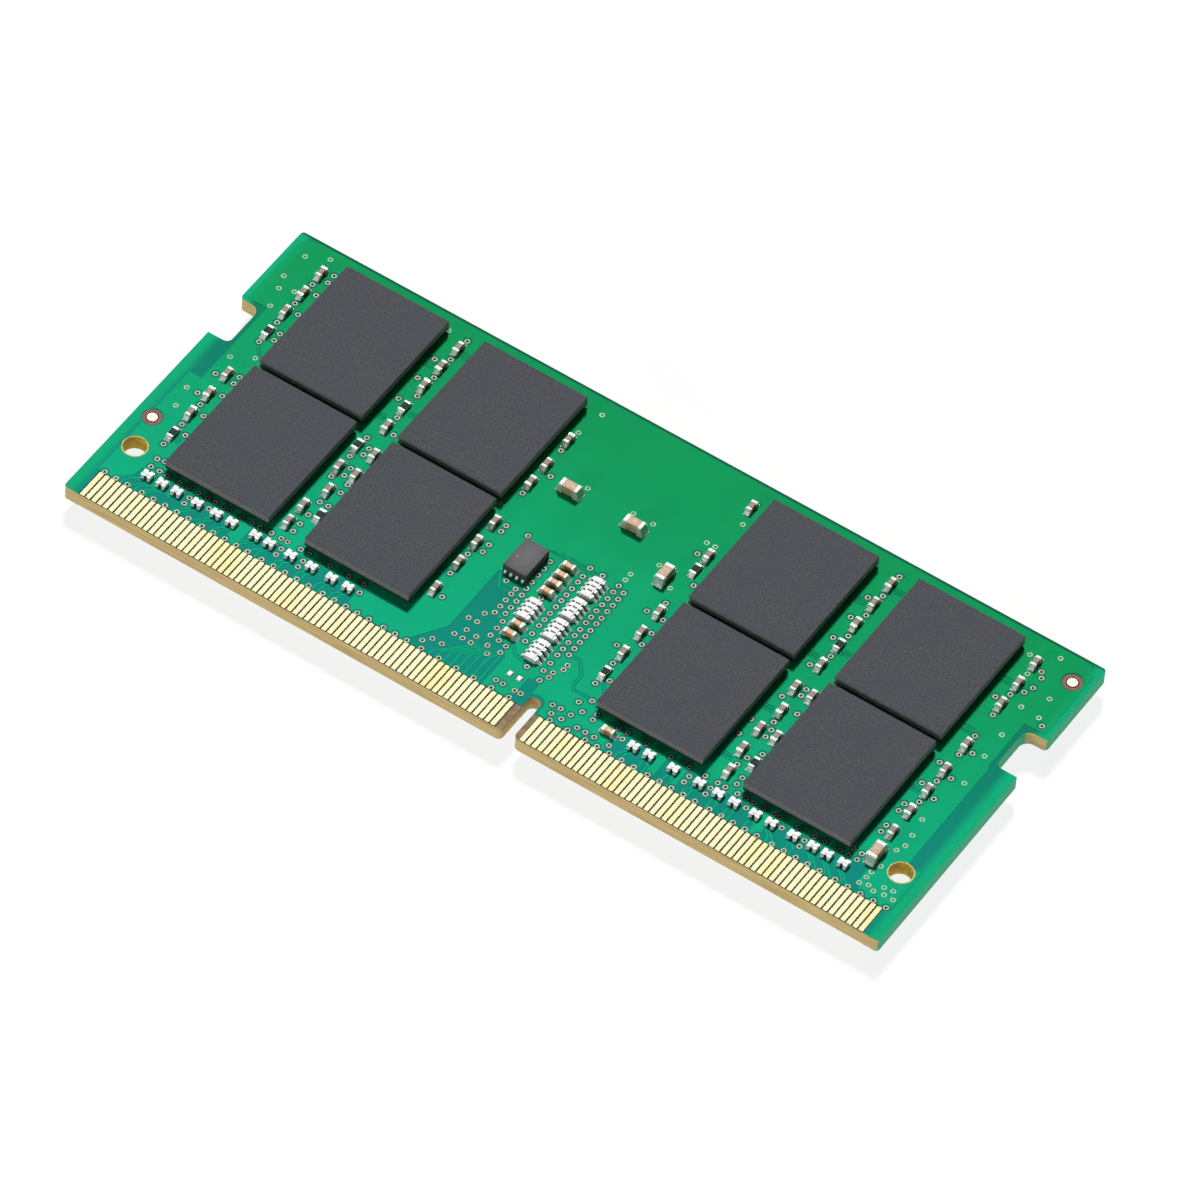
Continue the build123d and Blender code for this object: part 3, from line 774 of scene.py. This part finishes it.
COPPER_RISE = 0.022
PLANE_OUTLINE = [
    (-34.4, 14.0), (-34.4, 7.4), (-32.65, 7.4), (-32.65, -0.9), (-33.72, -0.9), (-33.72, -12.3), (34.0, -12.3),
    (34.0, -8.2), (32.8, -8.2), (32.8, 2.6), (32.65, 2.6), (32.65, 7.4), (34.4, 7.4), (34.4, 13.9), (33.6, 14.75),
    (-33.6, 14.75),
]
BAND_TOP = -10.3
BAND_LOW = -12.4
BARE_AREAS = [
    [(-5.25, -2.95), (-2.9, -2.95), (-2.9, -6.6), (-2.0, -7.9), (-0.4, -9.4), (-0.4, BAND_LOW), (-7.2, BAND_LOW),
     (-5.25, -9.4)],
    [(2.0, -9.9), (2.95, -9.9), (2.95, BAND_LOW), (2.0, BAND_LOW)],
    [(29.5, -9.95), (30.75, -9.95), (30.75, -11.3), (29.5, -11.3)],
    [(-3.9, 0.5), (-2.3, 0.95), (0.6, 0.95), (0.6, 0.5)],
]
BARE_BANDS = [
    (-31.2, -22.75), (-21.65, -12.25), (10.7, 13.35), (14.0, 15.35), (15.75, 22.2), (22.9, 30.75),
]
BAND_ENDS = [
    [(-31.1, BAND_TOP), (-31.35, -11.2), (-32.55, BAND_LOW), (-31.1, BAND_LOW)],
    [(10.8, BAND_TOP), (9.9, -10.95), (9.9, BAND_LOW), (10.8, BAND_LOW)],
    [(30.7, -11.3), (31.5, BAND_LOW), (30.7, BAND_LOW)],
]
PLANE_TRACES = [
    [(3.3, -6.5), (4.0, -6.5), (4.9, -7.5), (4.9, -8.7), (5.15, -8.95), (6.45, -8.95)],
    [(-2.0, -7.85), (-0.8, -7.9), (0.05, -8.75), (1.0, -8.95)],
    [(-4.7, -3.15), (-4.35, -3.75), (-3.6, -3.78)],
    [(-4.95, -3.2), (-4.45, -4.25), (-3.6, -4.3)],
    [(6.2, -6.9), (7.2, -8.0)],
    [(6.95, -8.85), (7.7, -9.6)],
    [(-31.0, 3.9), (-30.2, 3.0)],
]
BARE_TRACES = [
    [(-3.6, 0.78), (-0.4, 0.86)],
    [(-2.6, 0.56), (-1.9, 0.7), (0.5, 0.66)],
]
TRACE_PAIRS = [
    (-20.4, -19.7, 10.2, 9.75), (-18.9, -18.1, 12.3, 11.9), (-18.7, -18.1, 5.35, 5.1), (-20.4, -19.8, 4.0, 3.7),
    (16.8, 17.7, 10.1, 9.7), (18.5, 19.4, 12.3, 12.0), (18.5, 19.4, 5.35, 5.05), (16.8, 17.6, 3.95, 3.6),
    (29.1, 30.0, 10.15, 9.75), (29.1, 30.1, 4.8, 4.4), (16.8, 17.7, -2.0, -2.3), (16.8, 17.7, -7.3, -7.6),
    (29.2, 30.0, -2.0, -2.3), (-31.1, -30.4, -6.6, -6.9),
]
FAN_SHIFTS = [-1.5, -1.6, -2.0, -0.85, -0.9, -0.6, -0.8, -0.5, -0.4, -0.3, -0.4, -0.4]
FAN_SHIFTS += [-0.4, 0.1, 0.1, -0.4, 0.1, 0.1, 0.1, 0.7, 0.3, 0.85, 0.9, 0.9]
TRACE_HALF_WIDTH = 0.055
SLOT_HALF_WIDTH = 0.15
PAIR_SLOT_HALF_WIDTH = 0.13
LAND_CLEARING = 0.06
HOLE_CLEARING = 0.12
FIDUCIAL_CLEARING = 0.86
KEY_CLEARING = (2.8, -16.0, 4.3, -10.85)


def ribbon(route, half_width):
    """Outline of a strip along a route of points."""
    points = [Vector(p) for p in route]
    left, right = [], []
    for i, point in enumerate(points):
        before = (point - points[i - 1]).normalized() if i else None
        after = (points[i + 1] - point).normalized() if i + 1 < len(points) else None
        before, after = before or after, after or before
        along = (before + after).normalized()
        across = Vector((-along.y, along.x)) * (half_width / max(0.5, along.dot(after)))
        left.append(tuple(point + across))
        right.append(tuple(point - across))
    return left + right[::-1]


def fan_routes(side):
    """Traces from each series array's outer terminals down to the contacts, each with its own lean."""
    routes = []
    spots = sorted(((low + high) / 2).x for low, high in islands(f"series_array_ceramics_{side}"))
    start_y = min(low.y for low, _ in islands(f"series_array_terminals_{side}"))
    for x, shift in zip(spots, FAN_SHIFTS):
        lean = math.copysign(1.0, shift)
        slant = min(abs(shift), 0.8)
        for offset in (-0.25, 0.25):
            bend = start_y - (0.28 if offset * lean > 0 else 0.1)
            across = x + offset + lean * (abs(shift) - slant)
            routes.append([(x + offset, start_y), (x + offset, bend - 0.01)])
            if abs(shift) > slant:
                routes[-1].append((across, bend - 0.02))
            if shift:
                routes[-1].append((across + lean * slant, bend - 0.02 - slant))
            routes[-1].append((x + offset + shift, BAND_LOW - 0.01))
    return routes


def band_areas():
    """Bare laminate of the strip between the arrays and the contacts."""
    strips = [[(x0, BAND_LOW), (x1, BAND_LOW), (x1, BAND_TOP), (x0, BAND_TOP)] for x0, x1 in BARE_BANDS]
    return strips + BAND_ENDS


def middle_fan():
    """Bundle of traces from the middle vias down to the contacts."""
    routes = []
    for i in range(8):
        x = -2.7 + 0.28 * i
        drop = 0.32 * (7 - i)
        routes.append([(x, -9.5), (x, -9.7), (x - drop, -9.7 - drop), (x - drop, BAND_LOW)])
    return routes


def clearings(side, signal_vias):
    """Outlines kept free of copper: vias, lands, tooling holes, fiducial dots and the key slot."""
    loops = [circle(x, y, 0, clearing_radius(x, y, signal_vias), 16) for x, y in signal_vias]
    for low, high in islands(f"component_lands_{side}"):
        loops.append(rounded(*plan_sides(low, high, -LAND_CLEARING), 0, 0.08, 2))
    for x in (-HOLE_X, HOLE_X):
        loops.append(circle(x, HOLE_Y, 0, HOLE_RADIUS + HOLE_CLEARING, 48))
    for low, high in islands("fiducial_dots"):
        middle = (low + high) / 2
        if (middle.z > MIDDLE_Z) == (side == "front"):
            loops.append(circle(middle.x, middle.y, 0, FIDUCIAL_CLEARING, 32))
    loops.append(rounded(*KEY_CLEARING, 0, 0.7, 6))
    return [[point[:2] for point in loop] for loop in loops]


def copper(side):
    """The mask's relief over the copper plane and its traces."""
    level, up = SIDES[side]
    pairs = [[(x0, y), (x1, y)] for x0, x1, y0, y1 in TRACE_PAIRS for y in (y0, y1)]
    bare = clearings(side, via_spots()[1])
    bare += [ribbon(route, SLOT_HALF_WIDTH) for route in PLANE_TRACES]
    bare += [ribbon(route, PAIR_SLOT_HALF_WIDTH) for route in pairs]
    routes = PLANE_TRACES + BARE_TRACES + fan_routes(side)
    if side == "front":
        bare += BARE_AREAS
        routes += middle_fan()
    bare += band_areas()
    strips = [ribbon(route, TRACE_HALF_WIDTH) for route in routes + pairs]
    shape = Shape()
    shape.plate([PLANE_OUTLINE], bare, level, level + up * COPPER_RISE)
    shape.plate(strips, [], level, level + up * COPPER_RISE * 0.9)
    piece(f"copper_relief_{side}", shape, [MASK_COPPER], "solder_mask")


def clearing_radius(x, y, others):
    """Clearing of a via, smaller where its neighbour stands close."""
    nearest = min(math.hypot(x - a, y - b) for a, b in others if (a, b) != (x, y))
    return max(VIA_RADIUS + VIA_GAP, min(VIA_CLEARING, nearest - VIA_RADIUS - VIA_GAP))


# Rims of the fiducial dots and tooling holes: each ring's inner and outer radius and its height,
# and the rim's steps outwards from the hole with their heights

FIDUCIAL_RINGS = ((0.3, 0.72, 0.008), (0.376, 0.5, 0.014), (0.7, 0.79, 0.012))
HOLE_RIM_STEPS = ((0.0, 0.0), (0.02, 0.02), (0.09, 0.02), (0.11, 0.0))


def fiducial_rings():
    """Bare resin round each aiming dot, darker beside the dot, with painted shade under the rim of the mask."""
    shape = Shape()
    for low, high in islands("fiducial_dots"):
        middle = (low + high) / 2
        base, up = (low.z, 1) if middle.z > MIDDLE_Z else (high.z, -1)
        for number, ring in enumerate(FIDUCIAL_RINGS):
            turned(shape, middle.x, middle.y, base, up, washer(*ring), 40, number)
    piece("fiducial_rings", shape, [BARE_RING, COPPER_LINE, MASK_EDGE_SHADE], "laminate")


def hole_rims():
    """Bare rim round each tooling hole on both faces, and its resin-smeared wall."""
    shape = Shape()
    rim = [(HOLE_RADIUS + out, rise) for out, rise in HOLE_RIM_STEPS]
    outer, inner = HOLE_RADIUS + 0.005, HOLE_RADIUS - 0.015
    wall = ((outer, REAR_Z), (outer, FRONT_Z), (inner, FRONT_Z), (inner, REAR_Z))
    for x in (-HOLE_X, HOLE_X):
        for level, up in SIDES.values():
            turned(shape, x, HOLE_Y, level, up, rim, 48)
        turned(shape, x, HOLE_Y, 0, 1, wall, 48, 1)
    piece("hole_rims", shape, [HOLE_RIM, HOLE_WALL], "laminate")


# Presence-detect chip


def eeprom():
    """Body with softened edges and a small round mark near its first lead."""
    finish_node("eeprom_leads", TIN)
    finish_node("eeprom_die", SILICON)
    low, high = box_mm("eeprom_body")
    body = Shape()
    block(body, low + Vector((0, 0, 0.02)), high, 0.03, 0.03)
    piece("eeprom_case", body, [MOULD_SMALL], "package_mould", "eeprom_body")
    mark = Shape()
    x, y = low.x + 0.45, low.y + 1.2
    mark.loft([circle(x, y, high.z + height, radius, 24) for radius, height in ((0.09, -0.003), (0.085, 0.004))])
    piece("eeprom_mark", mark, [GREY_MARK], "black_overcoat")


finish_board()
finish_packages()
eeprom()
for face in SIDES:
    solder_balls(face)
    chips(face)
    arrays("series_array", face, 2, f"_{face}")
    copper(face)
    vias(face)
bricks("large_capacitor_bodies", ["large_capacitor_ceramics"], CERAMIC_TAN, "capacitor_ceramic", 0.03, 0.03)
bricks("large_capacitor_ends", ["large_capacitor_terminals"], TIN, "terminal_metal", 0.08, 0.07)
arrays("termination_array", "front", 4)
small_metal = ["small_capacitor_terminals", "resistor_terminals", "series_array_terminals"]
front_metal = ["large_capacitor_terminals", "termination_array_terminals", "eeprom_leads"]
joints("rear", [f"{name}_rear" for name in small_metal])
joints("front", [f"{name}_front" for name in small_metal] + front_metal)
fiducial_rings()
hole_rims()


# Stage, lights and camera. The floor's profile is a radius and a height at each step outwards.

FLOOR_PROFILE = (
    (0.001, -20), (2700, -20), (2800, 190), (2780, 190), (2600, 40), (2200, 0), (600, 0), (0.001, 0),
)


def stage():
    """A plain pale floor under the module, turned up far away so that no view sees past it."""
    material, tree, shader, place = new_material("pale_floor", 0.9, 0.0, 0.0)
    cloud = noise(tree, place, 40.0, 3.0)
    colour_by(tree, shader, tones(tree, cloud, (0.15, 0.15, 0.15, 1), (0.17, 0.17, 0.17, 1)))
    shader.inputs["Emission Color"].default_value = (1, 1, 1, 1)
    shader.inputs["Emission Strength"].default_value = 0.85
    shape = Shape()
    shape.loft([circle(0, 0, z, radius, 96) for radius, z in FLOOR_PROFILE])
    floor = add("floor", mesh_of("floor", shape, [material]))


def light(name, direction, spread_angle, strength):
    """Distant soft light from a direction, the same all over the stage."""
    data = bpy.data.lights.new(name, "SUN")
    data.angle = math.radians(spread_angle)
    data.energy = strength
    lamp = add(name, data)
    lamp.location = Vector(direction)
    lamp.rotation_euler = (-lamp.location).to_track_quat("-Z", "Y").to_euler()


def world(level):
    """Even pale surroundings."""
    made = bpy.data.worlds.new("studio")
    made.use_nodes = True
    background = made.node_tree.nodes["Background"]
    background.inputs["Color"].default_value = (1, 1, 1, 1)
    background.inputs["Strength"].default_value = level
    bpy.context.scene.world = made


def camera(target, azimuth, elevation, roll, distance, lens):
    """Long-lens view from the front right, tilted a little."""
    data = bpy.data.cameras.new("camera")
    data.lens = lens
    data.sensor_width = 36
    data.clip_start = 0.01
    data.clip_end = 50
    a, e = math.radians(azimuth), math.radians(elevation)
    back = Vector((math.sin(a) * math.cos(e), -math.cos(a) * math.cos(e), math.sin(e)))
    turn = (-back).to_track_quat("-Z", "Y").to_matrix().to_4x4() @ Matrix.Rotation(math.radians(roll), 4, "Z")
    made = add("camera", data)
    made.matrix_world = Matrix.Translation((Vector(target) + back * distance) * MM) @ turn
    bpy.context.scene.camera = made


stage()
world(level=0.06)
light("key", (-0.41, 0.69, 1.07), spread_angle=10, strength=3.4)
light("front", (-0.25, -0.93, 0.25), spread_angle=16, strength=0.95)
camera((1.72, -0.36, 1.39), azimuth=30.033, elevation=50.685, roll=4.837, distance=777.6, lens=327.09)
bpy.context.scene.view_settings.view_transform = "Standard"
